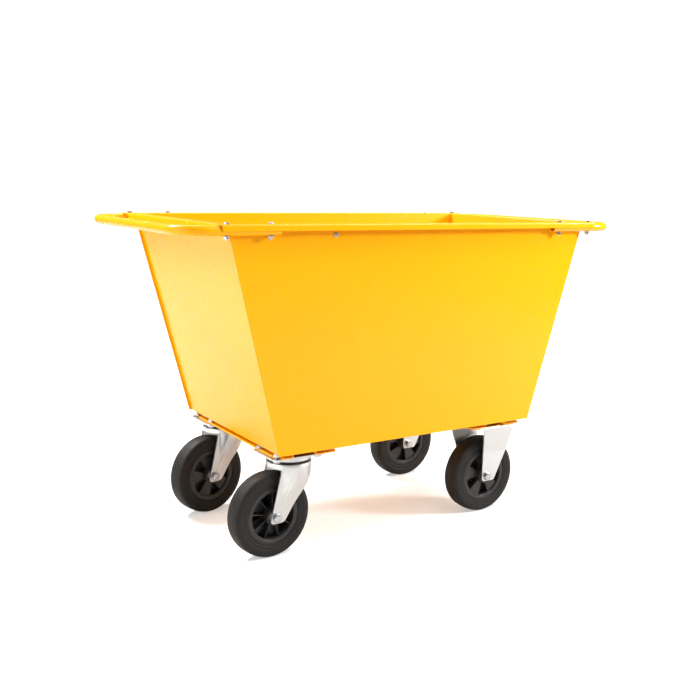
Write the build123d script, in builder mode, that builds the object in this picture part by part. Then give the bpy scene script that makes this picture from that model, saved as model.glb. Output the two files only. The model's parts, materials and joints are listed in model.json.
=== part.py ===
from build123d import *

import os
from math import cos, hypot, radians, sin

os.makedirs("parts", exist_ok=True)

# Driving dimensions, in millimetres. X runs along the trolley with the swivel casters at -X,
# Y runs across it and the floor is Z = 0.

# Tub
sheet = 2.0
rim_height = 766.0
floor_height = 253.0
inner_top_half_length = 499.0
inner_top_half_width = 264.0
inner_bottom_half_length = 363.0
inner_bottom_half_width = 244.0
floor_thickness = 3.0
side_edge_overhang = 6.0
rail_half_length = 529.0
rail_half_width = 290.0
end_flange_reach = 24.0
lip_depth = 14.0
rim_bend = 5.0
lip_bend = 4.0
panel_height = rim_height - floor_height

# Push handles
tube_radius = 10.65
tube_wall = 2.3
tube_line = 277.0
tube_height = rim_height - sheet - tube_radius
tube_leg_end = 390.0
tube_cross = 608.0
tube_bend = 62.0
bolt_stations = (413.0, 513.0)
handle_bolt_radius = 3.0
handle_hole_radius = 3.3

# Underframe
member_thickness = 3.0
caster_height = 241.0
member_half_width = 235.0
brim_top = caster_height + member_thickness
left_member = (-365.0, -330.0, -267.0, -200.0)
right_member = (180.0, 236.0, 303.0, 366.0)
brim_corner = 16.0

# Casters
plate_length = 135.0
plate_width = 110.0
plate_thickness = 4.0
plate_bottom = caster_height - plate_thickness
caster_line = 175.0
swivel_station = -306.0
fixed_station = 273.0
trail = 54.0
swivel_holes = (105.0, 80.0)
fixed_holes = (105.0, 74.0)
plate_bolt_radius = 5.0
plate_hole_radius = 5.3
fork_thickness = 4.0
fork_half_gap = 32.0
fork_half_width = fork_half_gap + fork_thickness

# Swivel bearing
race_radius = 53.0
race_bottom = 228.0
crown_top = 222.0
crown_thickness = 5.0
skirt_depth = 13.0
ball_radius = 4.0
ball_circle = 43.0
ball_count = 20
ball_height = crown_top + 2.5
kingpin_radius = 8.0
running_clearance = 0.05

# Wheels
wheel_radius = 100.0
tyre_half_width = 23.5
tread_half_width = 20.0
tread_edge_radius = 97.0
rim_flange_radius = 67.0
rim_seat_radius = 64.0
rim_inner_radius = 54.0
rim_half_width = 21.5
hub_radius = 21.0
hub_half_length = 29.0
bearing_radius = 15.0
bearing_half_length = 27.0
sleeve_radius = 10.0
axle_radius = 6.0
roller_radius = 2.4
roller_circle = 12.5
roller_count = 12
sector = 36.0
rib_thickness = 3.0


def inner_x(z):
    """Half length of the tub's inside at height z."""
    share = (z - floor_height) / panel_height
    return inner_bottom_half_length + share * (inner_top_half_length - inner_bottom_half_length)


def inner_y(z):
    """Half width of the tub's inside at height z."""
    share = (z - floor_height) / panel_height
    return inner_bottom_half_width + share * (inner_top_half_width - inner_bottom_half_width)


end_lean = hypot(1.0, (inner_top_half_length - inner_bottom_half_length) / panel_height)
side_edge = sheet * end_lean + side_edge_overhang
lip_bottom = rim_height - lip_depth
below_floor = floor_height - 10.0

# ---------------------------------------------------------------- tub panels

with BuildPart() as rear_side_panel:
    with BuildSketch(Plane.YZ):
        with BuildLine():
            Polyline((inner_y(below_floor), below_floor), (inner_y(rim_height - 1), rim_height - 1))
            offset(amount=sheet, side=Side.RIGHT)
        make_face()
    extrude(amount=rail_half_length, both=True)
    with BuildSketch(Plane.XZ):
        Polygon(
            (-inner_x(floor_height) - side_edge, floor_height),
            (inner_x(floor_height) + side_edge, floor_height),
            (inner_x(rim_height) + side_edge, rim_height),
            (-inner_x(rim_height) - side_edge, rim_height),
            align=None,
        )
    extrude(amount=rail_half_width, both=True, mode=Mode.INTERSECT)
    with BuildSketch(Plane.YZ):
        with BuildLine():
            FilletPolyline(
                (inner_y(rim_height - 12), rim_height - 12),
                (inner_y(rim_height), rim_height),
                (rail_half_width, rim_height),
                (rail_half_width, lip_bottom),
                radius=(rim_bend, lip_bend),
            )
            offset(amount=sheet, side=Side.RIGHT)
        make_face()
    extrude(amount=rail_half_length, both=True)
    # The rail's cut ends lean in slightly towards the lip's edge.
    with BuildSketch(Plane.XZ):
        for end in (-1, 1):
            Polygon(
                (end * rail_half_length, rim_height + 1),
                (end * (rail_half_length + 5), rim_height + 1),
                (end * (rail_half_length + 5), lip_bottom - 1),
                (end * (rail_half_length - 4), lip_bottom - 1),
                align=None,
            )
    extrude(amount=rail_half_width + 1, both=True, mode=Mode.SUBTRACT)
    with Locations(*[(s * x, tube_line, rim_height) for s in (-1, 1) for x in bolt_stations]):
        Hole(radius=handle_hole_radius, depth=2 * sheet)
rear_side_panel.part.label = "rear_side_panel"
export_step(rear_side_panel.part, "parts/rear_side_panel.step")

# The front panel is the rear one mirrored, with a hole for its button-head screw.
screw_x = -246.0
screw_z = 742.0
screw_radius = 3.0
side_lean = (inner_top_half_width - inner_bottom_half_width) / panel_height
screw_plane = Plane(
    origin=(screw_x, -inner_y(screw_z) - sheet * hypot(1.0, side_lean), screw_z),
    x_dir=(1, 0, 0),
    z_dir=(0, -1, -side_lean),
)
with BuildPart() as front_side_panel:
    mirror(rear_side_panel.part, about=Plane.XZ)
    with BuildSketch(screw_plane.offset(1)):
        Circle(screw_radius + 0.2)
    extrude(amount=-2 * sheet, mode=Mode.SUBTRACT)
front_side_panel.part.label = "front_side_panel"
export_step(front_side_panel.part, "parts/front_side_panel.step")

with BuildPart() as right_end_panel:
    with BuildSketch(Plane.XZ):
        with BuildLine():
            FilletPolyline(
                (inner_x(below_floor), below_floor),
                (inner_x(rim_height), rim_height),
                (inner_x(rim_height) + end_flange_reach, rim_height),
                (inner_x(rim_height) + end_flange_reach, lip_bottom),
                radius=(rim_bend, lip_bend),
            )
            offset(amount=sheet, side=Side.RIGHT)
        make_face()
    extrude(amount=rail_half_width, both=True)
    with BuildSketch(Plane.YZ):
        Polygon(
            (-inner_y(floor_height), floor_height),
            (inner_y(floor_height), floor_height),
            (inner_y(rim_height), rim_height),
            (-inner_y(rim_height), rim_height),
            align=None,
        )
    extrude(amount=tube_cross, both=True, mode=Mode.INTERSECT)
right_end_panel.part.label = "right_end_panel"
export_step(right_end_panel.part, "parts/right_end_panel.step")

with BuildPart() as left_end_panel:
    mirror(right_end_panel.part, about=Plane.YZ)
left_end_panel.part.label = "left_end_panel"
export_step(left_end_panel.part, "parts/left_end_panel.step")

floor_top = floor_height + floor_thickness
with BuildPart() as floor_panel:
    with BuildSketch(Plane.XZ):
        Polygon(
            (-inner_x(floor_height), floor_height),
            (inner_x(floor_height), floor_height),
            (inner_x(floor_top), floor_top),
            (-inner_x(floor_top), floor_top),
            align=None,
        )
    extrude(amount=rail_half_width, both=True)
    with BuildSketch(Plane.YZ):
        Polygon(
            (-inner_y(floor_height), floor_height),
            (inner_y(floor_height), floor_height),
            (inner_y(floor_top), floor_top),
            (-inner_y(floor_top), floor_top),
            align=None,
        )
    extrude(amount=tube_cross, both=True, mode=Mode.INTERSECT)
floor_panel.part.label = "floor_panel"
export_step(floor_panel.part, "parts/floor_panel.step")

screw_head_height = 3.3
with BuildPart() as side_panel_screw:
    with BuildSketch(screw_plane):
        Circle(5.8)
    extrude(amount=screw_head_height)
    fillet(side_panel_screw.edges().group_by(Axis.Y)[0], radius=2.6)
    with BuildSketch(screw_plane.offset(screw_head_height)):
        RegularPolygon(radius=2.0, side_count=6)
    extrude(amount=-1.8, mode=Mode.SUBTRACT)
    with BuildSketch(screw_plane):
        Circle(screw_radius)
    extrude(amount=-10)
side_panel_screw.part.label = "side_panel_screw"
export_step(side_panel_screw.part, "parts/side_panel_screw.step")

with BuildPart() as side_panel_nut:
    with BuildSketch(screw_plane.offset(-sheet)):
        RegularPolygon(radius=5.8, side_count=6)
        Circle(screw_radius + running_clearance, mode=Mode.SUBTRACT)
    extrude(amount=-5.0)
side_panel_nut.part.label = "side_panel_nut"
export_step(side_panel_nut.part, "parts/side_panel_nut.step")

# ---------------------------------------------------------------- push handles

bolt_places = [(x, s * tube_line) for s in (-1, 1) for x in bolt_stations]

with BuildPart() as right_handle:
    with BuildLine(Plane.XY.offset(tube_height)) as route:
        FilletPolyline(
            (tube_leg_end, -tube_line),
            (tube_cross, -tube_line),
            (tube_cross, tube_line),
            (tube_leg_end, tube_line),
            radius=tube_bend,
        )
    with BuildSketch(Plane(origin=(tube_leg_end, -tube_line, tube_height), z_dir=(1, 0, 0))):
        Circle(tube_radius)
        Circle(tube_radius - tube_wall, mode=Mode.SUBTRACT)
    sweep(path=route.wires()[0])
    with BuildSketch(Plane.XY.offset(tube_height - 2 * tube_radius)):
        with Locations(*bolt_places):
            Circle(handle_hole_radius)
    extrude(amount=4 * tube_radius, mode=Mode.SUBTRACT)
right_handle.part.label = "right_handle"
export_step(right_handle.part, "parts/right_handle.step")

with BuildPart() as left_handle:
    mirror(right_handle.part, about=Plane.YZ)
left_handle.part.label = "left_handle"
export_step(left_handle.part, "parts/left_handle.step")

all_bolt_places = bolt_places + [(-x, y) for x, y in bolt_places]
tube_bottom = tube_height - tube_radius
bolt_head_radius = 5.8
bolt_head_height = 4.0
washer_thickness = 1.6
nut_height = 5.0

with BuildPart() as handle_bolts:
    with BuildSketch(Plane.XY.offset(rim_height)):
        with Locations(*all_bolt_places):
            RegularPolygon(radius=bolt_head_radius, side_count=6)
    extrude(amount=bolt_head_height)
    chamfer(handle_bolts.edges().group_by(Axis.Z)[-1], length=0.7)
    with BuildSketch(Plane.XY.offset(rim_height)):
        with Locations(*all_bolt_places):
            Circle(handle_bolt_radius)
    extrude(amount=-(rim_height - tube_bottom + washer_thickness + nut_height + 3))
handle_bolts.part.label = "handle_bolts"
export_step(handle_bolts.part, "parts/handle_bolts.step")

with BuildPart() as handle_washers:
    with BuildSketch(Plane.XY.offset(tube_bottom)):
        with Locations(*all_bolt_places):
            Circle(6.3)
            Circle(handle_hole_radius, mode=Mode.SUBTRACT)
    extrude(amount=-washer_thickness)
handle_washers.part.label = "handle_washers"
export_step(handle_washers.part, "parts/handle_washers.step")

with BuildPart() as handle_nuts:
    with BuildSketch(Plane.XY.offset(tube_bottom - washer_thickness)):
        with Locations(*all_bolt_places):
            RegularPolygon(radius=bolt_head_radius, side_count=6)
            Circle(handle_bolt_radius + running_clearance, mode=Mode.SUBTRACT)
    extrude(amount=-nut_height)
handle_nuts.part.label = "handle_nuts"
export_step(handle_nuts.part, "parts/handle_nuts.step")

# ---------------------------------------------------------------- underframe


def hole_pattern(station, spacing):
    """Centres of the plate bolts of the two casters at one station."""
    return [
        (station + sx * spacing[0] / 2, side * caster_line + sy * spacing[1] / 2)
        for side in (-1, 1)
        for sx in (-1, 1)
        for sy in (-1, 1)
    ]


swivel_bolts = hole_pattern(swivel_station, swivel_holes)
fixed_bolts = hole_pattern(fixed_station, fixed_holes)


def cross_member(stations, bolts):
    """Hat section across the tub: brims carry the casters, the crown meets the floor."""
    outer_left, crown_left, crown_right, outer_right = stations
    with BuildPart() as member:
        with BuildSketch(Plane.XZ):
            with BuildLine():
                FilletPolyline(
                    (outer_left, brim_top),
                    (crown_left, brim_top),
                    (crown_left, floor_height),
                    (crown_right, floor_height),
                    (crown_right, brim_top),
                    (outer_right, brim_top),
                    radius=(1.0, 4.0, 4.0, 1.0),
                )
                offset(amount=member_thickness, side=Side.RIGHT)
            make_face()
        extrude(amount=member_half_width, both=True)
        with BuildSketch(Plane.XY.offset(caster_height)):
            for y in (-member_half_width, member_half_width):
                inner = y * (1 - 2.4 * brim_corner / member_half_width)
                for x, step in ((outer_left, brim_corner), (outer_right, -brim_corner)):
                    Polygon((x, y), (x + step, y), (x, inner), align=None)
        extrude(amount=member_thickness, mode=Mode.SUBTRACT)
        with BuildSketch(Plane.XY.offset(caster_height)):
            with Locations(*bolts):
                Circle(plate_hole_radius)
        extrude(amount=member_thickness, mode=Mode.SUBTRACT)
    return member.part


with BuildPart() as left_cross_member:
    add(cross_member(left_member, swivel_bolts))
left_cross_member.part.label = "left_cross_member"
export_step(left_cross_member.part, "parts/left_cross_member.step")

with BuildPart() as right_cross_member:
    add(cross_member(right_member, fixed_bolts))
right_cross_member.part.label = "right_cross_member"
export_step(right_cross_member.part, "parts/right_cross_member.step")

plate_bolt_head_radius = 9.3
plate_bolt_head_height = 6.4
plate_nut_height = 7.0
plate_nut_radius = 9.3

with BuildPart() as caster_plate_bolts:
    with BuildSketch(Plane.XY.offset(plate_bottom)):
        with Locations(*(swivel_bolts + fixed_bolts)):
            RegularPolygon(radius=plate_bolt_head_radius, side_count=6)
    extrude(amount=-plate_bolt_head_height)
    with BuildSketch(Plane.XY.offset(plate_bottom)):
        with Locations(*(swivel_bolts + fixed_bolts)):
            Circle(plate_bolt_radius)
    extrude(amount=plate_thickness + member_thickness + plate_nut_height + 1)
caster_plate_bolts.part.label = "caster_plate_bolts"
export_step(caster_plate_bolts.part, "parts/caster_plate_bolts.step")

with BuildPart() as caster_plate_nuts:
    with BuildSketch(Plane.XY.offset(brim_top)):
        with Locations(*(swivel_bolts + fixed_bolts)):
            RegularPolygon(radius=plate_nut_radius, side_count=6)
            Circle(plate_bolt_radius + running_clearance, mode=Mode.SUBTRACT)
    extrude(amount=plate_nut_height)
caster_plate_nuts.part.label = "caster_plate_nuts"
export_step(caster_plate_nuts.part, "parts/caster_plate_nuts.step")

# ---------------------------------------------------------------- casters


def ground_plane(x, y, turn, height=0.0):
    """Level plane at a caster, its X along the rolling direction."""
    a = radians(turn)
    return Plane(origin=(x, y, height), x_dir=(cos(a), sin(a), 0), z_dir=(0, 0, 1))


def side_plane(x, y, turn, across=0.0):
    """Upright plane of a caster, seen from its own -Y side; across shifts it to that side."""
    a = radians(turn)
    normal = (sin(a), -cos(a), 0)
    origin = (x + across * normal[0], y + across * normal[1], 0)
    return Plane(origin=origin, x_dir=(cos(a), sin(a), 0), z_dir=normal)


def front_plane(x, y, turn, along=0.0):
    """Upright plane across a caster, its X along the axle."""
    a = radians(turn)
    origin = (x + along * cos(a), y + along * sin(a), 0)
    return Plane(origin=origin, x_dir=(-sin(a), cos(a), 0), z_dir=(cos(a), sin(a), 0))


def axle_line(x, y, turn):
    """Axis of a wheel."""
    a = radians(turn)
    return Axis((x, y, wheel_radius), (-sin(a), cos(a), 0))


def swivel_mount(corner, x, y):
    """Top plate with its pressed upper race, the kingpin and its nut: all fixed to the tub."""
    with BuildPart() as top_plate:
        with BuildSketch(Plane.XY.offset(plate_bottom)):
            with Locations((x, y)):
                RectangleRounded(plate_length, plate_width, radius=10)
        extrude(amount=plate_thickness)
        with BuildSketch(ground_plane(x, y, 0, race_bottom)):
            Circle(race_radius)
            Circle(race_radius - 20, mode=Mode.SUBTRACT)
        extrude(amount=plate_bottom - race_bottom)
        chamfer(top_plate.edges().filter_by(GeomType.CIRCLE).group_by(Axis.Z)[0], length=1.2)
        with BuildSketch(front_plane(x, y, 0)):
            with Locations((ball_circle, ball_height)):
                Circle(ball_radius + 0.35)
        revolve(axis=Axis((x, y, 0), (0, 0, 1)), mode=Mode.SUBTRACT)
        with BuildSketch(Plane.XY.offset(plate_bottom)):
            with Locations((x, y)):
                with GridLocations(swivel_holes[0], swivel_holes[1], 2, 2):
                    Circle(plate_hole_radius)
                Circle(kingpin_radius)
        extrude(amount=plate_thickness, mode=Mode.SUBTRACT)
    top_plate.part.label = f"{corner}_swivel_top_plate"
    export_step(top_plate.part, f"parts/{corner}_swivel_top_plate.step")

    with BuildPart() as kingpin:
        with BuildSketch(ground_plane(x, y, 0, caster_height)):
            Circle(kingpin_radius)
        extrude(amount=-(caster_height - crown_top + crown_thickness + 12))
        with BuildSketch(ground_plane(x, y, 0, caster_height)):
            Circle(14)
        extrude(amount=3)
        with BuildSketch(ground_plane(x, y, 0, plate_bottom)):
            Circle(16)
        extrude(amount=-(plate_bottom - crown_top - 0.3))
    kingpin.part.label = f"{corner}_kingpin"
    export_step(kingpin.part, f"parts/{corner}_kingpin.step")

    with BuildPart() as kingpin_nut:
        with BuildSketch(ground_plane(x, y, 0, crown_top - crown_thickness - 0.3)):
            RegularPolygon(radius=13.8, side_count=6)
            Circle(kingpin_radius + running_clearance, mode=Mode.SUBTRACT)
        extrude(amount=-9)
    kingpin_nut.part.label = f"{corner}_kingpin_nut"
    export_step(kingpin_nut.part, f"parts/{corner}_kingpin_nut.step")


def swivel_fork(corner, x, y, turn):
    """Turning half of a swivel caster: crown with skirt and two raked legs, balls and dust ring."""
    crown_bottom = crown_top - crown_thickness
    with BuildPart() as fork:
        with BuildSketch(ground_plane(x, y, turn, crown_bottom)):
            Circle(race_radius)
        extrude(amount=crown_thickness)
        with BuildSketch(ground_plane(x, y, turn, crown_top - skirt_depth)):
            Circle(race_radius)
            Circle(race_radius - fork_thickness, mode=Mode.SUBTRACT)
        extrude(amount=skirt_depth)
        fillet(fork.edges().filter_by(GeomType.CIRCLE).group_by(Axis.Z)[-1], radius=2.5)
        # Legs, cut from sheet to the raked outline: straight leading edge, bowed trailing edge.
        for side in (-1, 1):
            with BuildSketch(side_plane(x, y, turn, side * fork_half_gap)) as leg:
                Polygon((-39, crown_bottom), (-71, 86), (-34, 86), (20, 168), (39, crown_bottom), align=None)
                fillet(leg.vertices().group_by(Axis.Y)[0], radius=9)
            extrude(amount=side * fork_thickness)
            # A pressed crease runs down each leg.
            with BuildSketch(side_plane(x, y, turn, side * fork_half_width)):
                with BuildLine():
                    Line((-19, crown_bottom - 10), (-37, 104))
                trace(line_width=2.4)
            extrude(amount=-side * 1.1, mode=Mode.SUBTRACT)
        with BuildSketch(side_plane(x, y, turn, -race_radius)):
            with Locations((-trail, wheel_radius)):
                Circle(axle_radius + running_clearance)
        extrude(amount=2 * race_radius, mode=Mode.SUBTRACT)
        # Kingpin hole and the lower ball track.
        with BuildSketch(ground_plane(x, y, turn, crown_bottom)):
            Circle(kingpin_radius + running_clearance)
        extrude(amount=crown_thickness, mode=Mode.SUBTRACT)
        with BuildSketch(front_plane(x, y, turn)):
            with Locations((ball_circle, ball_height)):
                Circle(ball_radius)
        revolve(axis=Axis((x, y, 0), (0, 0, 1)), mode=Mode.SUBTRACT)
    fork.part.label = f"{corner}_swivel_fork"
    export_step(fork.part, f"parts/{corner}_swivel_fork.step")

    with BuildPart() as balls:
        with Locations(ground_plane(x, y, turn, ball_height)):
            with PolarLocations(ball_circle, ball_count):
                Sphere(ball_radius - 0.02)
    balls.part.label = f"{corner}_swivel_balls"
    export_step(balls.part, f"parts/{corner}_swivel_balls.step")

    with BuildPart() as dust_ring:
        with BuildSketch(ground_plane(x, y, turn, crown_top)):
            Circle(race_radius - 3)
            Circle(race_radius - 5.2, mode=Mode.SUBTRACT)
        extrude(amount=race_bottom - crown_top - 0.3)
    dust_ring.part.label = f"{corner}_dust_ring"
    export_step(dust_ring.part, f"parts/{corner}_dust_ring.step")


def fixed_fork(corner, x, y):
    """Pressed bracket: plate and both legs in one bent sheet, each leg with one bowed edge."""
    flare = 57.0
    knee = 166.0
    leg_bottom = 87.0
    bend_line = 234.0
    with BuildPart() as fork:
        with BuildSketch(front_plane(x, y, 0)):
            with BuildLine():
                FilletPolyline(
                    (-fork_half_width, leg_bottom),
                    (-fork_half_width, knee),
                    (-flare, caster_height),
                    (flare, caster_height),
                    (fork_half_width, knee),
                    (fork_half_width, leg_bottom),
                    radius=(30.0, 8.0, 8.0, 30.0),
                )
                offset(amount=fork_thickness, side=Side.RIGHT)
            make_face()
        extrude(amount=plate_length / 2, both=True)
        outer_leg = [(-32, bend_line), (-17, knee), (-17, leg_bottom), (23, leg_bottom), (61, knee)]
        outer_leg += [(66, 222), (60, bend_line)]
        inner_leg = [(-56, bend_line), (-60, 222), (-50, knee), (-20, leg_bottom), (20, leg_bottom)]
        inner_leg += [(20, knee), (32, bend_line)]
        for side, outline in ((1, outer_leg), (-1, inner_leg)):
            with BuildSketch(side_plane(x, y, 0, side * 20), mode=Mode.PRIVATE) as leg:
                Polygon(*outline, align=None)
                fillet(leg.vertices().group_by(Axis.Y)[0], radius=9)
            with BuildSketch(side_plane(x, y, 0, side * 20)):
                with Locations((0, (bend_line + leg_bottom) / 2 - 1)):
                    Rectangle(plate_length + 2, bend_line - leg_bottom + 2)
                add(leg.sketch_local, mode=Mode.SUBTRACT)
            extrude(amount=side * 50, mode=Mode.SUBTRACT)
        with BuildSketch(side_plane(x, y, 0, -60)):
            with Locations((0, wheel_radius)):
                Circle(axle_radius + running_clearance)
        extrude(amount=120, mode=Mode.SUBTRACT)
        with BuildSketch(Plane.XY.offset(plate_bottom)):
            with Locations((x, y)):
                with GridLocations(fixed_holes[0], fixed_holes[1], 2, 2):
                    Circle(plate_hole_radius)
        extrude(amount=plate_thickness, mode=Mode.SUBTRACT)
    fork.part.label = f"{corner}_fixed_fork"
    export_step(fork.part, f"parts/{corner}_fixed_fork.step")


def axle(corner, x, y, turn):
    """Hex bolt through the fork, its nut, and the sleeve that the legs clamp."""
    head_radius = 10.9
    head_height = 7.5
    with BuildPart() as bolt:
        with BuildSketch(side_plane(x, y, turn, fork_half_width)):
            with Locations((0, wheel_radius)):
                RegularPolygon(radius=head_radius, side_count=6)
        extrude(amount=head_height)
        with BuildSketch(side_plane(x, y, turn, fork_half_width)):
            with Locations((0, wheel_radius)):
                Circle(axle_radius)
        extrude(amount=-(2 * fork_half_width + 14))
    bolt.part.label = f"{corner}_axle_bolt"
    export_step(bolt.part, f"parts/{corner}_axle_bolt.step")

    with BuildPart() as nut:
        with BuildSketch(side_plane(x, y, turn, -fork_half_width)):
            with Locations((0, wheel_radius)):
                RegularPolygon(radius=head_radius, side_count=6)
                Circle(axle_radius + running_clearance, mode=Mode.SUBTRACT)
        extrude(amount=-11)
    nut.part.label = f"{corner}_axle_nut"
    export_step(nut.part, f"parts/{corner}_axle_nut.step")

    with BuildPart() as sleeve:
        with BuildSketch(side_plane(x, y, turn)):
            with Locations((0, wheel_radius)):
                Circle(sleeve_radius)
                Circle(axle_radius + running_clearance, mode=Mode.SUBTRACT)
        extrude(amount=fork_half_gap, both=True)
    sleeve.part.label = f"{corner}_axle_sleeve"
    export_step(sleeve.part, f"parts/{corner}_axle_sleeve.step")


def wheel(corner, x, y, turn, phase):
    """Solid rubber tyre on a ribbed plastic rim, with a caged roller bearing in the hub.

    The rim's -Y face carries nine ribs over a recessed web. Its other face has five closed and five
    open sectors, the middle of one open sector at the angle phase.
    """
    axis = axle_line(x, y, turn)
    with BuildPart() as tyre:
        with BuildSketch(front_plane(x, y, turn)) as profile:
            with BuildLine():
                Polyline(
                    (-tread_half_width, wheel_radius + tread_edge_radius),
                    (-tyre_half_width, wheel_radius + 84),
                    (-22, wheel_radius + rim_flange_radius),
                    (-20.5, wheel_radius + rim_flange_radius),
                    (-18, wheel_radius + rim_seat_radius),
                    (18, wheel_radius + rim_seat_radius),
                    (20.5, wheel_radius + rim_flange_radius),
                    (22, wheel_radius + rim_flange_radius),
                    (tyre_half_width, wheel_radius + 84),
                    (tread_half_width, wheel_radius + tread_edge_radius),
                )
                ThreePointArc(
                    (-tread_half_width, wheel_radius + tread_edge_radius),
                    (0, 2 * wheel_radius),
                    (tread_half_width, wheel_radius + tread_edge_radius),
                )
            make_face()
            fillet(profile.vertices().group_by(Axis.Y)[-1], radius=5)
            fillet(profile.vertices().sort_by(Axis.X)[0], radius=9)
            fillet(profile.vertices().sort_by(Axis.X)[-1], radius=9)
        revolve(axis=axis)
        # Shallow moulding creases round both side walls.
        with BuildSketch(front_plane(x, y, turn)):
            for side in (-1, 1):
                with Locations((side * 22.5, wheel_radius + 71), (side * 23.2, wheel_radius + 80)):
                    Circle(1.1)
        revolve(axis=axis, mode=Mode.SUBTRACT)
    tyre.part.label = f"{corner}_tyre"
    export_step(tyre.part, f"parts/{corner}_tyre.step")

    with BuildPart() as rim:
        with BuildSketch(front_plane(x, y, turn)):
            with BuildLine():
                Polyline(
                    (-18, wheel_radius + rim_seat_radius),
                    (-20.5, wheel_radius + rim_flange_radius),
                    (-rim_half_width, wheel_radius + rim_flange_radius - 1),
                    (-rim_half_width, wheel_radius + rim_inner_radius + 1.5),
                    (0, wheel_radius + rim_inner_radius),
                    (rim_half_width, wheel_radius + rim_inner_radius + 1.5),
                    (rim_half_width, wheel_radius + rim_flange_radius - 1),
                    (20.5, wheel_radius + rim_flange_radius),
                    (18, wheel_radius + rim_seat_radius),
                    close=True,
                )
            make_face()
        revolve(axis=axis)
        with BuildSketch(side_plane(x, y, turn)):
            with Locations((0, wheel_radius)):
                Circle(hub_radius)
        extrude(amount=hub_half_length, both=True)
        for start, depth, first in ((-1.0, 3.0, phase), (-17.0, 3.0, phase + sector)):
            with BuildSketch(side_plane(x, y, turn, start)):
                for index in range(5):
                    middle = radians(first + index * 2 * sector)
                    half = radians(sector / 2)
                    far = (rim_inner_radius + 1) / cos(half)
                    corners = [(0, wheel_radius)]
                    for angle in (middle - half, middle + half):
                        corners.append((far * cos(angle), wheel_radius + far * sin(angle)))
                    Polygon(*corners, align=None)
            extrude(amount=depth)
        with BuildSketch(side_plane(x, y, turn, -17.0)):
            with Locations((0, wheel_radius)):
                with PolarLocations((hub_radius + rim_inner_radius) / 2, 10, start_angle=phase + sector / 2):
                    Rectangle(rim_inner_radius - hub_radius + 3, rib_thickness)
        extrude(amount=18.0)
        with BuildSketch(side_plane(x, y, turn, -1.0)):
            with Locations((0, wheel_radius)):
                with PolarLocations((hub_radius + rim_inner_radius) / 2, 9, start_angle=9.0):
                    Rectangle(rim_inner_radius - hub_radius + 3, rib_thickness)
        extrude(amount=18.0)
        with BuildSketch(side_plane(x, y, turn)):
            with Locations((0, wheel_radius)):
                Circle(bearing_radius)
        extrude(amount=hub_half_length, both=True, mode=Mode.SUBTRACT)
    rim.part.label = f"{corner}_rim"
    export_step(rim.part, f"parts/{corner}_rim.step")

    with BuildPart() as bearing:
        with BuildSketch(side_plane(x, y, turn)):
            with Locations((0, wheel_radius)):
                Circle(bearing_radius)
                Circle(sleeve_radius + running_clearance, mode=Mode.SUBTRACT)
        extrude(amount=bearing_half_length, both=True)
        with BuildSketch(side_plane(x, y, turn)):
            with Locations((0, wheel_radius)):
                with PolarLocations(roller_circle, roller_count):
                    Circle(roller_radius)
        extrude(amount=bearing_half_length - 4, both=True, mode=Mode.SUBTRACT)
    bearing.part.label = f"{corner}_bearing_cage"
    export_step(bearing.part, f"parts/{corner}_bearing_cage.step")

    with BuildPart() as rollers:
        with BuildSketch(side_plane(x, y, turn)):
            with Locations((0, wheel_radius)):
                with PolarLocations(roller_circle, roller_count):
                    Circle(roller_radius - 0.05)
        extrude(amount=bearing_half_length - 4.1, both=True)
    rollers.part.label = f"{corner}_bearing_rollers"
    export_step(rollers.part, f"parts/{corner}_bearing_rollers.step")


# Swivel casters as parked: each trails towards -X at its own small angle.
for corner, side, turn, phase, flip in (
    ("front_left", -1, 4.2, 0.0, 0.0),
    ("rear_left", 1, 11.5, 38.4, 180.0),
):
    swivel_y = side * caster_line
    wheel_x = swivel_station - trail * cos(radians(turn))
    wheel_y = swivel_y - trail * sin(radians(turn))
    swivel_mount(corner, swivel_station, swivel_y)
    swivel_fork(corner, swivel_station, swivel_y, turn)
    axle(corner, wheel_x, wheel_y, turn)
    wheel(corner, wheel_x, wheel_y, turn + flip, phase)

for corner, side, phase in (("front_right", -1, 48.0), ("rear_right", 1, 64.0)):
    fixed_fork(corner, fixed_station, side * caster_line)
    axle(corner, fixed_station, side * caster_line, 0.0)
    wheel(corner, fixed_station, side * caster_line, 180.0, phase)
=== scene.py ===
import json
from math import cos, pi, radians, sin, sqrt, tan

import bmesh
import bpy
from mathutils import Matrix, Vector, noise

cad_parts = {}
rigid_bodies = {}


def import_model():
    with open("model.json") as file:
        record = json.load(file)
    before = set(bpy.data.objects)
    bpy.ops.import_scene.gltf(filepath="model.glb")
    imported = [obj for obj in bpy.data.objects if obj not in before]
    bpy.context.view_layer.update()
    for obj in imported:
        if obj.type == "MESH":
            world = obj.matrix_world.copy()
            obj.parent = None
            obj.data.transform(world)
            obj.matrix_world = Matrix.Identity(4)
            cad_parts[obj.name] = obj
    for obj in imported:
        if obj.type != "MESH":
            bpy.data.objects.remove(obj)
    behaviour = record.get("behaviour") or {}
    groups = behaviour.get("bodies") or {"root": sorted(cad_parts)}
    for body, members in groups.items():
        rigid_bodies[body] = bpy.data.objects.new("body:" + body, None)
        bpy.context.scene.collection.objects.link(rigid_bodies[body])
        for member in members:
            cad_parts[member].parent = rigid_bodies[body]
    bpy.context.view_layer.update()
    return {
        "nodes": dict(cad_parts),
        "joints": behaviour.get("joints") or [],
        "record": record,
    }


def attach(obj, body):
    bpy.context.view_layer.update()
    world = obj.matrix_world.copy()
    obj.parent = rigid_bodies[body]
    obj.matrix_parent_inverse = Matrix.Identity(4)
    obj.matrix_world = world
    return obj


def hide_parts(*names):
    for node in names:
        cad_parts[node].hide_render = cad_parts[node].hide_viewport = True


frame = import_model()
joints = {joint["name"]: joint for joint in frame["joints"]}
nodes = frame["nodes"]
mm = 0.001

# heights and half widths that several pieces share, in millimetres
rail_top = 766.0  # top of the tub's folded rail
leg_face = 36.0  # outer face of a caster's leg, from the middle of its wheel

# ------------------------------------------------------------------ node trees


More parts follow.
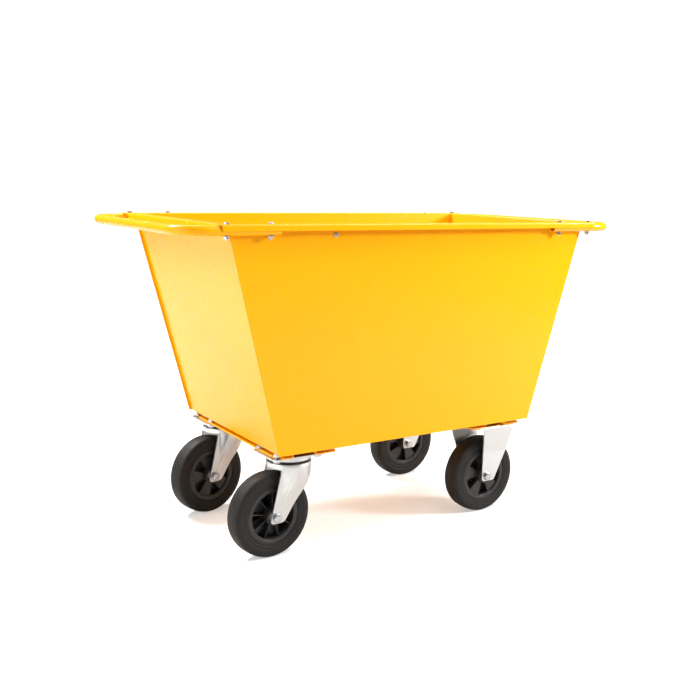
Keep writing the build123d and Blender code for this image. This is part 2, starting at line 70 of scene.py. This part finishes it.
class Tree:
    """One procedural material, wired in a few words."""

    def __init__(self, name):
        self.material = bpy.data.materials.new(name)
        self.material.use_nodes = True
        self.nodes = self.material.node_tree.nodes
        self.nodes.clear()
        self.shader = self.add("BsdfPrincipled")
        output = self.add("OutputMaterial")
        self.join(self.shader.outputs["BSDF"], output.inputs["Surface"])
        self.place = self.add("TexCoord").outputs["Object"]

    def add(self, kind, **settings):
        node = self.nodes.new("ShaderNode" + kind)
        for name, value in settings.items():
            setattr(node, name, value)
        return node

    def join(self, source, target):
        self.material.node_tree.links.new(source, target)

    def feed(self, target, value):
        """Links an output to a socket, or sets the socket to a number or colour."""
        if isinstance(value, bpy.types.NodeSocket):
            self.join(value, target)
        else:
            target.default_value = value

    def math(self, operation, first, second=0.0, third=0.0):
        node = self.add("Math", operation=operation)
        for socket, value in zip(node.inputs, (first, second, third)):
            self.feed(socket, value)
        return node.outputs[0]

    def mix(self, share, first, second):
        node = self.add("Mix", data_type="RGBA")
        self.feed(node.inputs["Factor"], share)
        self.feed(node.inputs["A"], first)
        self.feed(node.inputs["B"], second)
        return node.outputs["Result"]

    def noise(self, size, detail=2.0, roughness=0.5, place=None):
        """Noise whose features are about size metres across, as a value round 0.5."""
        node = self.add("TexNoise")
        self.join(place or self.place, node.inputs["Vector"])
        node.inputs["Scale"].default_value = 1 / size
        node.inputs["Detail"].default_value = detail
        node.inputs["Roughness"].default_value = roughness
        return node.outputs["Fac"]

    def stretch(self, x, y, z):
        node = self.add("Mapping")
        self.join(self.place, node.inputs["Vector"])
        node.inputs["Scale"].default_value = (x, y, z)
        return node.outputs["Vector"]

    def ramp(self, value, low, high, start=0.0, end=1.0):
        node = self.add("MapRange", interpolation_type="SMOOTHSTEP")
        for socket, number in zip(node.inputs, (value, low, high, start, end)):
            self.feed(socket, number)
        return node.outputs[0]

    def rounded(self, radius):
        """Surface normal that turns over every edge as if the edge had this radius."""
        bevel = self.add("Bevel", samples=6)
        bevel.inputs["Radius"].default_value = radius
        return bevel.outputs[0]

    def edge(self, rounded):
        """Near 1 on edges, where the rounded normal leaves the true one, and 0 on flats."""
        true_normal = self.add("NewGeometry").outputs["Normal"]
        dot = self.add("VectorMath", operation="DOT_PRODUCT")
        self.join(rounded, dot.inputs[0])
        self.join(true_normal, dot.inputs[1])
        return self.ramp(dot.outputs["Value"], 0.97, 0.80)

    def bump(self, height, depth, normal=None):
        node = self.add("Bump")
        node.inputs["Strength"].default_value = 1.0
        node.inputs["Distance"].default_value = depth
        self.join(height, node.inputs["Height"])
        if normal is not None:
            self.join(normal, node.inputs["Normal"])
        return node.outputs[0]

    def finish(self, colour, roughness, normal, **fixed):
        self.feed(self.shader.inputs["Base Color"], colour)
        self.feed(self.shader.inputs["Roughness"], roughness)
        self.join(normal, self.shader.inputs["Normal"])
        for name, value in fixed.items():
            self.shader.inputs[name.replace("_", " ")].default_value = value
        return self.material


def powder_coat(name, wave):
    """Glossy yellow powder coat: orange peel, slow drifts of tone, painted shade along edges, a long wave
    of depth wave.
    """
    t = Tree(name)
    rounded = t.rounded(1.2 * mm)
    drift = t.noise(0.25, 3.0)
    base = t.mix(drift, (0.94, 0.40, 0.001, 1), (0.97, 0.43, 0.001, 1))
    spots = t.ramp(t.noise(8 * mm, 3.0), 0.35, 0.65, 0.0, 0.3)
    patchy = t.mix(spots, base, (0.97, 0.43, 0.003, 1))
    # painted shade: edges and corners are painted a deeper orange, standing in for the shade along them
    colour = t.mix(t.math("MULTIPLY", t.edge(rounded), 0.35), patchy, (0.92, 0.32, 0.001, 1))
    roughness = t.ramp(t.noise(30 * mm, 4.0), 0.25, 0.75, 0.20, 0.28)
    peel = t.bump(t.noise(2.6 * mm, 2.0, 0.4), 0.02 * mm, rounded)
    normal = t.bump(t.noise(0.32, 1.0), wave, peel)
    return t.finish(colour, roughness, normal, Specular_IOR_Level=0.22)


def zinc_plate(name, light, dark, smoothest):
    """Bright zinc: cloudy passivation, upright drawing marks, softened edges with a painted highlight along
    them.
    """
    t = Tree(name)
    rounded = t.rounded(0.9 * mm)
    cloud = t.noise(14 * mm, 5.0, 0.65)
    spots = t.noise(3 * mm, 3.0, 0.7)
    base = t.mix(cloud, light, dark)
    tinted = t.mix(t.ramp(spots, 0.55, 0.8, 0.0, 0.35), base, (0.80, 0.77, 0.70, 1))
    # painted highlight: edges are painted a brighter grey, standing in for the glint along them
    colour = t.mix(t.math("MULTIPLY", t.edge(rounded), 0.5), tinted, (0.93, 0.93, 0.93, 1))
    marks = t.noise(1.2 * mm, 2.0, 0.6, place=t.stretch(1.0, 1.0, 0.08))
    dulled = t.math("MULTIPLY_ADD", marks, 0.4, t.math("MULTIPLY", cloud, 0.6))
    roughness = t.ramp(dulled, 0.3, 0.7, smoothest, smoothest + 0.16)
    normal = t.bump(t.math("MULTIPLY_ADD", spots, 0.5, marks), 0.03 * mm, rounded)
    return t.finish(colour, roughness, normal, Metallic=1.0)


def rubber(name):
    """Black solid rubber: fine grain, a brownish bloom and dust that gathers in patches."""
    t = Tree(name)
    rounded = t.rounded(0.8 * mm)
    bloom = t.noise(45 * mm, 4.0, 0.6)
    grain = t.noise(0.7 * mm, 2.0, 0.7)
    base = t.mix(bloom, (0.010, 0.0095, 0.009, 1), (0.017, 0.0145, 0.012, 1))
    colour = t.mix(t.ramp(grain, 0.6, 0.8, 0.0, 0.3), base, (0.028, 0.025, 0.021, 1))
    roughness = t.ramp(bloom, 0.3, 0.7, 0.52, 0.68)
    normal = t.bump(grain, 0.05 * mm, rounded)
    return t.finish(colour, roughness, normal, Specular_IOR_Level=0.26)


def moulded_plastic(name, dark, light, low, high):
    """Moulded plastic: flow marks, fine mould texture and a painted highlight on its edges."""
    t = Tree(name)
    rounded = t.rounded(0.7 * mm)
    flow = t.noise(22 * mm, 3.0, 0.55)
    grain = t.noise(0.5 * mm, 1.0)
    base = t.mix(flow, dark, light)
    # painted highlight: edges are painted half again lighter than the plastic, standing in for the glints
    # along flanges and ribs
    painted_edge_highlight = tuple(1.5 * channel for channel in light[:3]) + (1,)
    colour = t.mix(t.math("MULTIPLY", t.edge(rounded), 0.4), base, painted_edge_highlight)
    roughness = t.ramp(flow, 0.3, 0.7, low, high)
    normal = t.bump(grain, 0.012 * mm, rounded)
    return t.finish(colour, roughness, normal, Specular_IOR_Level=0.5)


finishes = {
    "yellow_paint": powder_coat("yellow_powder_coat", 0.25 * mm),
    "caster_zinc": zinc_plate("bright_zinc_pressing", (0.72, 0.725, 0.715, 1), (0.60, 0.61, 0.61, 1), 0.28),
    # painted shade: the fastener zinc is given darker than the caster zinc, for nuts and bolts that sit in
    # shade under the rail, tube and tub
    "fastener_zinc": zinc_plate("bright_zinc_fastener", (0.60, 0.61, 0.64, 1), (0.42, 0.43, 0.47, 1), 0.18),
    "ball_steel": zinc_plate("bearing_steel", (0.72, 0.72, 0.73, 1), (0.60, 0.60, 0.61, 1), 0.10),
    "black_rubber": rubber("black_tyre_rubber"),
    "black_plastic": moulded_plastic(
        "black_rim_plastic", (0.014, 0.0135, 0.013, 1), (0.024, 0.022, 0.021, 1), 0.30, 0.42
    ),
    "cage_nylon": moulded_plastic(
        "natural_nylon", (0.62, 0.60, 0.54, 1), (0.70, 0.68, 0.62, 1), 0.40, 0.50
    ),
    "seal_rubber": rubber("black_seal_rubber"),
}

for subpart in frame["record"]["subparts"]:
    node = nodes[subpart["node"]]
    node.data.materials.clear()
    node.data.materials.append(finishes[subpart["material_slot"]])

# ------------------------------------------------------------------ mesh helpers


def make_piece(name, shape, matrix, body, material_slot, *replaced, crease=32):
    """Turns a bmesh in local millimetres into a finished piece that rides on a body."""
    bmesh.ops.remove_doubles(shape, verts=shape.verts, dist=0.001)
    bmesh.ops.recalc_face_normals(shape, faces=shape.faces)
    bmesh.ops.transform(shape, matrix=matrix @ Matrix.Scale(mm, 4), verts=shape.verts)
    mesh = bpy.data.meshes.new(name)
    shape.to_mesh(mesh)
    shape.free()
    mesh.shade_smooth()
    mesh.set_sharp_from_angle(angle=radians(crease))
    mesh.materials.append(finishes[material_slot])
    piece = bpy.data.objects.new(name, mesh)
    bpy.context.scene.collection.objects.link(piece)
    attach(piece, body)
    if replaced:
        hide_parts(*replaced)


def turned(shape, outline, segments, reshape=None):
    """Revolves a closed outline of (along, radius) about local Z; reshape may move each point."""
    rings = []
    for index in range(segments):
        angle = 2 * pi * index / segments
        ring = []
        for along, radius in outline:
            if reshape is not None:
                along, radius = reshape(along, radius, angle)
            ring.append(shape.verts.new((radius * cos(angle), radius * sin(angle), along)))
        rings.append(ring)
    count = len(outline)
    for index, ring in enumerate(rings):
        following = rings[(index + 1) % segments]
        for step in range(count):
            after = (step + 1) % count
            shape.faces.new((ring[step], ring[after], following[after], following[step]))


def mirrored(half):
    """Closes a half outline, given from the middle outward and back, with its mirror image."""
    return half + [(-along, radius) for along, radius in reversed(half) if along > 0]


def prism(shape, lower, upper):
    """Closed solid between two outlines that have the same number of points."""
    low = [shape.verts.new(point) for point in lower]
    high = [shape.verts.new(point) for point in upper]
    shape.faces.new(list(reversed(low)))
    shape.faces.new(high)
    for index in range(len(low)):
        after = (index + 1) % len(low)
        shape.faces.new((low[index], low[after], high[after], high[index]))


def absorb(whole, part):
    """Moves everything in one bmesh into another."""
    loose = bpy.data.meshes.new("loose")
    part.to_mesh(loose)
    part.free()
    whole.from_mesh(loose)
    bpy.data.meshes.remove(loose)


def frame_at(origin, across, up=(0, 0, 1)):
    """Matrix with its Z along across, its Y as near to up as it can be, at an origin in metres."""
    z = Vector(across).normalized()
    x = Vector(up).cross(z).normalized()
    y = z.cross(x)
    return Matrix.Translation(origin) @ Matrix((x, y, z)).transposed().to_4x4()


# ------------------------------------------------------------------ fasteners

half_flat = radians(30)
axis_gap = 0.02  # a solid of revolution stops this far from its axis, in millimetres


def hex_solid(shape, corner_radius, low, high, bore=0.0, washer_face=0.0):
    """Hexagon from low to high along Z: a head on a washer face, or chamfered at both ends."""
    flat = corner_radius * cos(half_flat)
    crest = 0.95 * flat
    inner = bore if bore else axis_gap

    def hexagonal(along, radius, angle):
        if radius < flat:
            return along, radius
        beyond = (angle % (2 * half_flat)) - half_flat
        reach = flat / cos(beyond)
        drop = (reach - crest) * tan(half_flat)
        if along >= high:
            return high - drop, reach
        return (along if washer_face else low + drop), reach

    outline = [(high - 0.12 * bore, inner), (high, inner * 1.1), (high, crest), (high, flat)]
    if washer_face:
        outline += [(low + washer_face, flat), (low + washer_face, crest), (low, crest), (low, inner)]
    else:
        outline += [(low, flat), (low, crest), (low, inner * 1.1), (low + 0.12 * bore, inner)]
    turned(shape, outline, 72, hexagonal)


def threaded_end(shape, radius, low, high, pitch):
    """Shank whose thread is rings at a given pitch, from high down to a chamfer at low."""
    chamfer = 0.8
    outline = [(high, axis_gap), (high, radius)]
    along = high
    while along - pitch > low + pitch:
        outline += [(along - 0.15 * pitch, radius), (along - 0.5 * pitch, radius - 0.45 * pitch)]
        outline.append((along - 0.85 * pitch, radius))
        along -= pitch
    outline += [(low + chamfer, radius), (low, radius - chamfer), (low, axis_gap)]
    turned(shape, outline, 36)


def grid_places(stations, lines):
    return [(x, y) for x in stations for y in lines]


def gather(name, places, build, body, slot, *replaced):
    """One piece made of the same small solid at every place, each turned its own way."""
    whole = bmesh.new()
    for index, (x, y) in enumerate(places):
        part = bmesh.new()
        build(part)
        bmesh.ops.remove_doubles(part, verts=part.verts, dist=0.001)
        turn = radians(index * 37 % 60)
        spot = Matrix.Translation((x, y, 0)) @ Matrix.Rotation(turn, 4, "Z")
        bmesh.ops.transform(part, matrix=spot, verts=part.verts)
        absorb(whole, part)
    make_piece(name, whole, Matrix.Identity(4), body, slot, *replaced)


def handle_fasteners():
    """Bolts down through rail and tube, with washers and nuts under the tube."""
    outer, inner, line = 513, 413, 277
    places = grid_places((-outer, -inner, inner, outer), (-line, line))
    tube_bottom, washer, nut = 742.7, 1.6, 5.0
    hexagon, shank, head, tip, pitch = 5.8, 3.0, 4.0, 3.0, 1.0
    hole, disc_radius, blunt = 3.3, 6.3, 0.3

    def bolt(shape):
        hex_solid(shape, hexagon, rail_top, rail_top + head, washer_face=0.4)
        threaded_end(shape, shank, tube_bottom - washer - nut - tip, rail_top + 0.5, pitch)

    def disc(shape):
        top, bottom = tube_bottom, tube_bottom - washer
        outline = [(top, hole), (top, disc_radius - blunt), (top - blunt, disc_radius)]
        outline += [(bottom + blunt, disc_radius), (bottom, disc_radius - blunt), (bottom, hole)]
        turned(shape, outline, 48)

    def hex_nut(shape):
        top = tube_bottom - washer
        hex_solid(shape, hexagon, top - nut, top, bore=shank + 0.05)

    gather("handle_hex_bolts", places, bolt, "tub", "fastener_zinc", "handle_bolts")
    gather("handle_plain_washers", places, disc, "tub", "fastener_zinc", "handle_washers")
    gather("handle_hex_nuts", places, hex_nut, "tub", "fastener_zinc", "handle_nuts")


def plate_fasteners():
    """Bolts up through caster plates and cross member brims, nuts on top of the brims."""
    caster_line, half_length = 175, 52.5
    places = []
    for middle, half_width in ((-306, 40), (273, 37)):
        lines = [side * caster_line + edge * half_width for side in (-1, 1) for edge in (-1, 1)]
        places += grid_places((middle - half_length, middle + half_length), lines)
    plate_bottom, brim_top = 237.0, 244.0
    hexagon, shank, head, nut, tip, pitch = 9.3, 5.0, 6.4, 7.0, 8.0, 1.5
    washer_face = 0.6

    def bolt(shape):
        flipped = bmesh.new()
        hex_solid(flipped, hexagon, -plate_bottom, head - plate_bottom, washer_face=washer_face)
        bmesh.ops.transform(flipped, matrix=Matrix.Rotation(pi, 4, "X"), verts=flipped.verts)
        absorb(shape, flipped)
        threaded_end(shape, shank, plate_bottom - washer_face, brim_top + tip, pitch)

    def hex_nut(shape):
        hex_solid(shape, hexagon, brim_top, brim_top + nut, bore=shank + 0.05)

    gather("plate_hex_bolts", places, bolt, "tub", "fastener_zinc", "caster_plate_bolts")
    gather("plate_hex_nuts", places, hex_nut, "tub", "fastener_zinc", "caster_plate_nuts")


# ------------------------------------------------------------------ wheels


def tyre(corner, place):
    """Crowned tread, a defined shoulder, and soft moulded ridges down the side wall to the rim."""
    half = [(0, 64), (18, 64), (20.5, 67), (21.3, 67.1), (21.9, 67.7), (22.1, 69.6), (21.7, 70.5)]
    half += [(21.8, 71.3), (22.5, 72.2), (22.9, 75.5), (22.8, 78.2), (22.35, 79.0), (22.8, 79.8)]
    half += [(23.3, 81.5), (23.5, 85.5), (23.2, 89.5), (22.4, 92.8), (21.2, 95.0), (20.8, 95.9)]
    half += [(20.3, 97.0), (18.6, 98.1), (14.5, 99.1), (9, 99.7), (3, 99.97), (0.5, 100.0), (0, 99.7)]
    shape = bmesh.new()
    turned(shape, mirrored(half), 144)
    make_piece(f"{corner}_moulded_tyre", shape, place, f"{corner}_wheel", "black_rubber", f"{corner}_tyre")


def sector_solid(shape, middle, half_angle, near, far, low, high, steps=8):
    """Flat annular sector, its two ends following the hub and the ring."""
    def outline(height):
        arc = [middle - half_angle + 2 * half_angle * k / steps for k in range(steps + 1)]
        points = [(far * cos(a), far * sin(a), height) for a in arc]
        return points + [(near * cos(a), near * sin(a), height) for a in reversed(arc)]

    prism(shape, outline(low), outline(high))


def rib_solid(shape, angle, near, far, low, high, root, crest):
    """Radial rib with draft: root thickness at low, crest thickness half a millimetre under high."""
    def outline(radius):
        profile = [(-root / 2, low), (-crest / 2, high - 0.5), (-crest / 4, high)]
        profile += [(crest / 4, high), (crest / 2, high - 0.5), (root / 2, low)]
        turn = Matrix.Rotation(angle, 4, "Z")
        return [turn @ Vector((radius, across, along)) for across, along in profile]

    prism(shape, outline(near), outline(far))


def rim(corner, place, phase):
    """Moulded rim: ring, hub, nine drafted ribs on one face, closed and open sectors on the other."""
    sector = radians(36)
    near, far = 20.0, 55.0
    ring = [(0, 54), (13, 54.6), (19.6, 55.2), (20.8, 55.9), (21.3, 57.0), (21.35, 58.2), (20.8, 58.6)]
    ring += [(20.8, 59.1), (21.4, 59.5), (21.5, 61.0), (21.5, 64.4), (21.0, 64.7), (21.0, 65.1)]
    ring += [(21.2, 65.5), (20.5, 66.9), (18, 64), (0, 64)]
    hub = [(0, 15), (28.4, 15), (29, 15.6), (29, 19.8), (28.2, 20.6), (17, 21.0), (3.5, 21.6), (0, 22.4)]
    shape = bmesh.new()
    turned(shape, mirrored(ring), 144)
    turned(shape, mirrored(hub), 72)
    for index in range(5):
        deep = radians(phase) + index * 2 * sector
        sector_solid(shape, deep, sector / 2, near, far, low=-1.0, high=2.0)
        sector_solid(shape, deep + sector, sector / 2, near, far, low=-17.0, high=-14.0)
    for index in range(10):
        divide = radians(phase) + (index + 0.5) * sector
        rib_solid(shape, divide, near, far, low=1.0, high=-16.6, root=3.2, crest=2.6)
    for index in range(9):
        spoke = radians(9 + 40 * index)
        rib_solid(shape, spoke, near, far, low=1.5, high=17.0, root=3.4, crest=1.9)
    make_piece(f"{corner}_moulded_rim", shape, place, f"{corner}_wheel", "black_plastic", f"{corner}_rim")


def axle_fasteners(corner, place, body):
    """Hexagon head on the near leg, nut and threaded end on the far leg."""
    hexagon, shank, pitch = 10.9, 6.0, 1.75
    head = bmesh.new()
    hex_solid(head, hexagon, leg_face, leg_face + 7.5, washer_face=0.7)
    threaded_end(head, shank, -leg_face - 14.0, leg_face + 1.0, pitch)
    make_piece(f"{corner}_axle_hex_bolt", head, place, body, "fastener_zinc", f"{corner}_axle_bolt")
    nut = bmesh.new()
    hex_solid(nut, hexagon, -leg_face - 11.0, -leg_face, bore=shank + 0.05)
    make_piece(f"{corner}_axle_hex_nut", nut, place, body, "fastener_zinc", f"{corner}_axle_nut")


def wheels():
    """Tyre, rim and axle of each wheel; phase turns a rim, turned_round shows its other face."""
    for corner, phase, turned_round in (
        ("front_left", 0.0, False),
        ("rear_left", 38.4, True),
        ("front_right", 48.0, True),
        ("rear_right", 64.0, True),
    ):
        joint = joints[f"{corner}_roll"]
        near_side = -Vector(joint["axis"])
        origin = Vector(joint["pos_m"])
        axle = frame_at(origin, near_side)
        place = frame_at(origin, -near_side) if turned_round else axle
        tyre(corner, place)
        rim(corner, place, phase)
        axle_fasteners(corner, axle, joint["parent"])


# ------------------------------------------------------------------ swivel forks


def interpolate(stations, value):
    """Piecewise straight line through (value, result) stations."""
    value = min(max(value, stations[0][0]), stations[-1][0])
    for (low, first), (high, second) in zip(stations, stations[1:]):
        if value <= high:
            break
    return first + (second - first) * (value - low) / (high - low)


def ramped(value, start, length):
    """0 up to start, rising in a straight line to 1 after length."""
    return min(1.0, max(0.0, (value - start) / length))


def swivel_leg(shape, side):
    """Pressed leg: wraps the round skirt at the top, runs out flat at the axle, creased down its face."""
    top, bottom, corner_radius, thickness = 217.5, 86.0, 9.0, 4.0
    skirt_radius, skirt_reach = 53.04, 39.2
    crease_depth, crease_place, crease_width = 0.9, 0.375, 2.6
    trailing = [(bottom, -71.0), (top, -39.0)]
    leading = [(bottom, -34.0), (168.0, 20.0), (204.0, 38.4), (top, 39.0)]
    rows, columns = 40, 24
    outer, inner = [], []
    for row in range(rows + 1):
        share = row / rows
        height = bottom + (top - bottom) * share ** 1.25
        rounding = max(0.0, corner_radius - (height - bottom))
        inset = corner_radius - sqrt(max(0.0, corner_radius**2 - rounding**2))
        left = interpolate(trailing, height) + inset
        right = sum(interpolate(leading, height + shift) for shift in (-10, -5, 0, 5, 10)) / 5 - inset
        wrap = ramped(height, 118.0, 88.0)
        wrap = wrap * wrap * (3 - 2 * wrap)
        fade = ramped(height, 96.0, 14.0) * ramped(-height, -212.0, 10.0)
        outer.append([])
        inner.append([])
        for column in range(columns + 1):
            across = column / columns
            x = left + (right - left) * across
            round_face = sqrt(skirt_radius**2 - min(abs(x), skirt_reach) ** 2)
            face = leg_face + wrap * max(0.0, round_face - leg_face)
            from_crease = abs(across - crease_place) * (right - left)
            crease = crease_depth * fade * max(0.0, 1 - from_crease / crease_width)
            outer[-1].append(shape.verts.new((x, side * (face - crease), height)))
            inner[-1].append(shape.verts.new((x, side * (face - thickness), height)))
    for sheet in (outer, inner):
        for before, after in zip(sheet, sheet[1:]):
            for column in range(columns):
                following = column + 1
                shape.faces.new((before[column], before[following], after[following], after[column]))
    for row in range(rows):
        above = row + 1
        for column in (0, columns):
            outside = (outer[row][column], outer[above][column])
            inside = (inner[above][column], inner[row][column])
            shape.faces.new(outside + inside)
    for row in (0, rows):
        for column in range(columns):
            outside = (outer[row][column], outer[row][column + 1])
            inside = (inner[row][column + 1], inner[row][column])
            shape.faces.new(outside + inside)


def swivel_forks():
    """Crown and two legs of each swivel fork, turned about its kingpin to trail its wheel."""
    for corner in ("front_left", "rear_left"):
        roll = Vector(joints[f"{corner}_roll"]["axis"])
        pivot = Vector(joints[f"{corner}_swivel"]["pos_m"])
        forward = Vector((roll.y, -roll.x, 0)).normalized()
        sideways = Vector((-forward.y, forward.x, 0))
        place = Matrix.Translation((pivot.x, pivot.y, 0))
        place = place @ Matrix((forward, sideways, Vector((0, 0, 1)))).transposed().to_4x4()
        shape = bmesh.new()
        crown = [(217, 8.1), (222, 8.1), (222, 39.9), (221.1, 41), (220.5, 43), (221.1, 45), (222, 46.1)]
        crown += [(222, 50.2), (221.6, 51.7), (220.6, 52.7), (219.2, 53), (209.4, 53), (209, 52.6)]
        crown += [(209, 49.4), (209.4, 49), (215.2, 49), (216.5, 48.3), (217, 47)]
        turned(shape, crown, 120)
        for side in (-1, 1):
            swivel_leg(shape, side)
        body, node = f"{corner}_caster", f"{corner}_swivel_fork"
        make_piece(f"{corner}_pressed_fork", shape, place, body, "caster_zinc", node)


# ------------------------------------------------------------------ weld beads


def weld_bead(shape, start, end, half_width, lift, seed):
    """Run of overlapping ripples laid from start to end, half sunk in the corner it fills."""
    path = Vector(end) - Vector(start)
    length = path.length
    turn = frame_at((0, 0, 0), path, up=(0.31, 0.62, 0.72)).to_3x3()
    ripple = 2.2
    steps = int(length / (ripple / 3))
    sides = 8
    rings = []
    for step in range(steps + 1):
        along = length * step / steps
        swell = 0.86 + 0.14 * sin(pi * (along / ripple % 1.0))
        swell += 0.10 * noise.noise(Vector((seed, along / 9, 0)))
        taper = min(1.0, sqrt(max(0.0, min(along, length - along)) / half_width) + 0.25)
        wander = 0.12 * half_width * noise.noise(Vector((seed, 0, along / 25)))
        ring = []
        for side in range(sides):
            angle = 2 * pi * side / sides
            offset = Vector((cos(angle) * half_width + wander, sin(angle) * lift, 0)) * swell * taper
            ring.append(shape.verts.new(Vector(start) + path * (step / steps) + turn @ offset))
        rings.append(ring)
    for before, after in zip(rings, rings[1:]):
        for side in range(sides):
            other = (side + 1) % sides
            shape.faces.new((before[side], before[other], after[other], after[side]))
    shape.faces.new(rings[0])
    shape.faces.new(list(reversed(rings[-1])))


def inner_corner(height):
    """Inside corner of the tub at a height, for +X and +Y, in millimetres."""
    underside = 253.0
    mouth_x, mouth_y = 499.0, 264.0
    floor_x, floor_y = 363.0, 244.0
    share = (rail_top - height) / (rail_top - underside)
    return mouth_x + (floor_x - mouth_x) * share, mouth_y + (floor_y - mouth_y) * share


def tub_welds():
    """Beads up the inside corners and round the floor, stitches beside the cross members' webs."""
    shape = bmesh.new()
    seed, next_seed = 1.0, 7.3
    low, high = 260.0, 755.0
    inset, half_width = 0.8, 2.4
    for side_x in (-1, 1):
        for side_y in (-1, 1):
            x_low, y_low = inner_corner(low)
            x_high, y_high = inner_corner(high)
            start = (side_x * (x_low - inset), side_y * (y_low - inset), low)
            end = (side_x * (x_high - inset), side_y * (y_high - inset), high)
            weld_bead(shape, start, end, half_width, half_width, seed)
            seed += next_seed
    floor_top, bead_height, gap = 256.0, 256.6, 4.0
    x, y = inner_corner(floor_top)
    for side in (-1, 1):
        along_y = side * (y - inset)
        start, end = (gap - x, along_y, bead_height), (x - gap, along_y, bead_height)
        weld_bead(shape, start, end, half_width, half_width, seed)
        along_x = side * (x - inset)
        start, end = (along_x, gap - y, bead_height), (along_x, y - gap, bead_height)
        weld_bead(shape, start, end, half_width, half_width, seed + 3.1)
        seed += next_seed
    stitch_height, half_stitch = 252.2, 15.0
    for left, right in ((-330.0, -267.0), (236.0, 303.0)):
        for x in (left - 1.5, right + 1.5):
            for y in (-190.0, -70.0, 50.0, 170.0):
                start, end = (x, y - half_stitch, stitch_height), (x, y + half_stitch, stitch_height)
                weld_bead(shape, start, end, 2.6, 2.0, seed)
                seed += next_seed
    make_piece("tub_weld_beads", shape, Matrix.Identity(4), "tub", "yellow_paint", crease=60)


handle_fasteners()
plate_fasteners()
wheels()
swivel_forks()
tub_welds()

# ------------------------------------------------------------------ floor, light and camera


def plain_floor():
    """Pale floor that glows to the camera alone, up to full white away from the trolley."""
    mesh = bpy.data.meshes.new("studio_floor")
    shape = bmesh.new()
    bmesh.ops.create_circle(shape, cap_ends=True, radius=30.0, segments=96)
    shape.to_mesh(mesh)
    shape.free()
    floor = bpy.data.objects.new("studio_floor", mesh)
    bpy.context.scene.collection.objects.link(floor)
    t = Tree("pale_floor")
    t.shader.inputs["Base Color"].default_value = (0.70, 0.70, 0.70, 1)
    t.shader.inputs["Roughness"].default_value = 0.9
    t.shader.inputs["Specular IOR Level"].default_value = 0.1
    t.shader.inputs["Emission Color"].default_value = (1, 1, 1, 1)
    distance = t.add("VectorMath", operation="LENGTH")
    t.join(t.place, distance.inputs[0])
    glow = t.ramp(distance.outputs["Value"], 0.7, 2.4, 0.42, 1.05)
    seen = t.math("MULTIPLY", glow, t.add("LightPath").outputs["Is Camera Ray"])
    t.join(seen, t.shader.inputs["Emission Strength"])
    mesh.materials.append(t.material)


def soft_light(name, place, target, width, height, power):
    """Rectangular softbox at a place, facing a target."""
    data = bpy.data.lights.new(name, "AREA")
    data.shape = "RECTANGLE"
    data.size = width
    data.size_y = height
    data.energy = power
    lamp = bpy.data.objects.new(name, data)
    lamp.location = place
    lamp.rotation_euler = (Vector(target) - Vector(place)).to_track_quat("-Z", "Y").to_euler()
    bpy.context.scene.collection.objects.link(lamp)


def studio():
    """Softboxes round the trolley: name, place, target, width, height in metres, and watts."""
    soft_light("rail_strip", (1.4, -0.9, 3.0), (0, 0, 0.7), 1.6, 0.6, 70)
    soft_light("back_strip", (-0.4, 2.2, 3.0), (0, 0, 0.7), 3.0, 0.6, 60)
    soft_light("front_top_softbox", (0.5, -2.0, 3.2), (0, 0.1, 0.6), 2.2, 0.9, 20)
    soft_light("key_softbox", (2.3, -1.7, 1.5), (0.3, -0.2, 0.6), 0.5, 0.5, 92)
    soft_light("left_softbox", (-3.0, -0.3, 1.2), (-0.3, 0, 0.5), 2.2, 1.8, 50)
    soft_light("floor_softbox", (-1.3, 1.6, 2.4), (-1.0, 1.2, 0.0), 0.8, 0.8, 115)


def surroundings():
    """White room: dim as light on the trolley, full white where it is seen directly."""
    world = bpy.data.worlds.new("white_studio")
    world.use_nodes = True
    tree = world.node_tree
    background = tree.nodes["Background"]
    background.inputs["Color"].default_value = (1, 1, 1, 1)
    background.inputs["Strength"].default_value = 0.18
    seen = tree.nodes.new("ShaderNodeBackground")
    seen.inputs["Color"].default_value = (1, 1, 1, 1)
    seen.inputs["Strength"].default_value = 1.05
    path = tree.nodes.new("ShaderNodeLightPath")
    mix = tree.nodes.new("ShaderNodeMixShader")
    tree.links.new(path.outputs["Is Camera Ray"], mix.inputs["Fac"])
    tree.links.new(background.outputs[0], mix.inputs[1])
    tree.links.new(seen.outputs[0], mix.inputs[2])
    tree.links.new(mix.outputs[0], tree.nodes["World Output"].inputs["Surface"])
    bpy.context.scene.world = world
    bpy.context.scene.view_settings.view_transform = "Standard"


def camera():
    """View from beyond the front left corner, a little above the rail and looking down on it."""
    place = Matrix.Translation((-1.3393, -2.0065, 0.8610))
    right_of_y, down, rolled = radians(33.13), radians(10.28), radians(1.37)
    data = bpy.data.cameras.new("camera")
    data.sensor_width = 36.0
    data.lens = 48.45
    eye = bpy.data.objects.new("camera", data)
    heading = Matrix.Rotation(-right_of_y, 4, "Z")
    tilt = Matrix.Rotation(radians(90) - down, 4, "X")
    roll = Matrix.Rotation(rolled, 4, "Z")
    eye.matrix_world = place @ heading @ tilt @ roll
    bpy.context.scene.collection.objects.link(eye)
    bpy.context.scene.camera = eye


plain_floor()
studio()
surroundings()
camera()
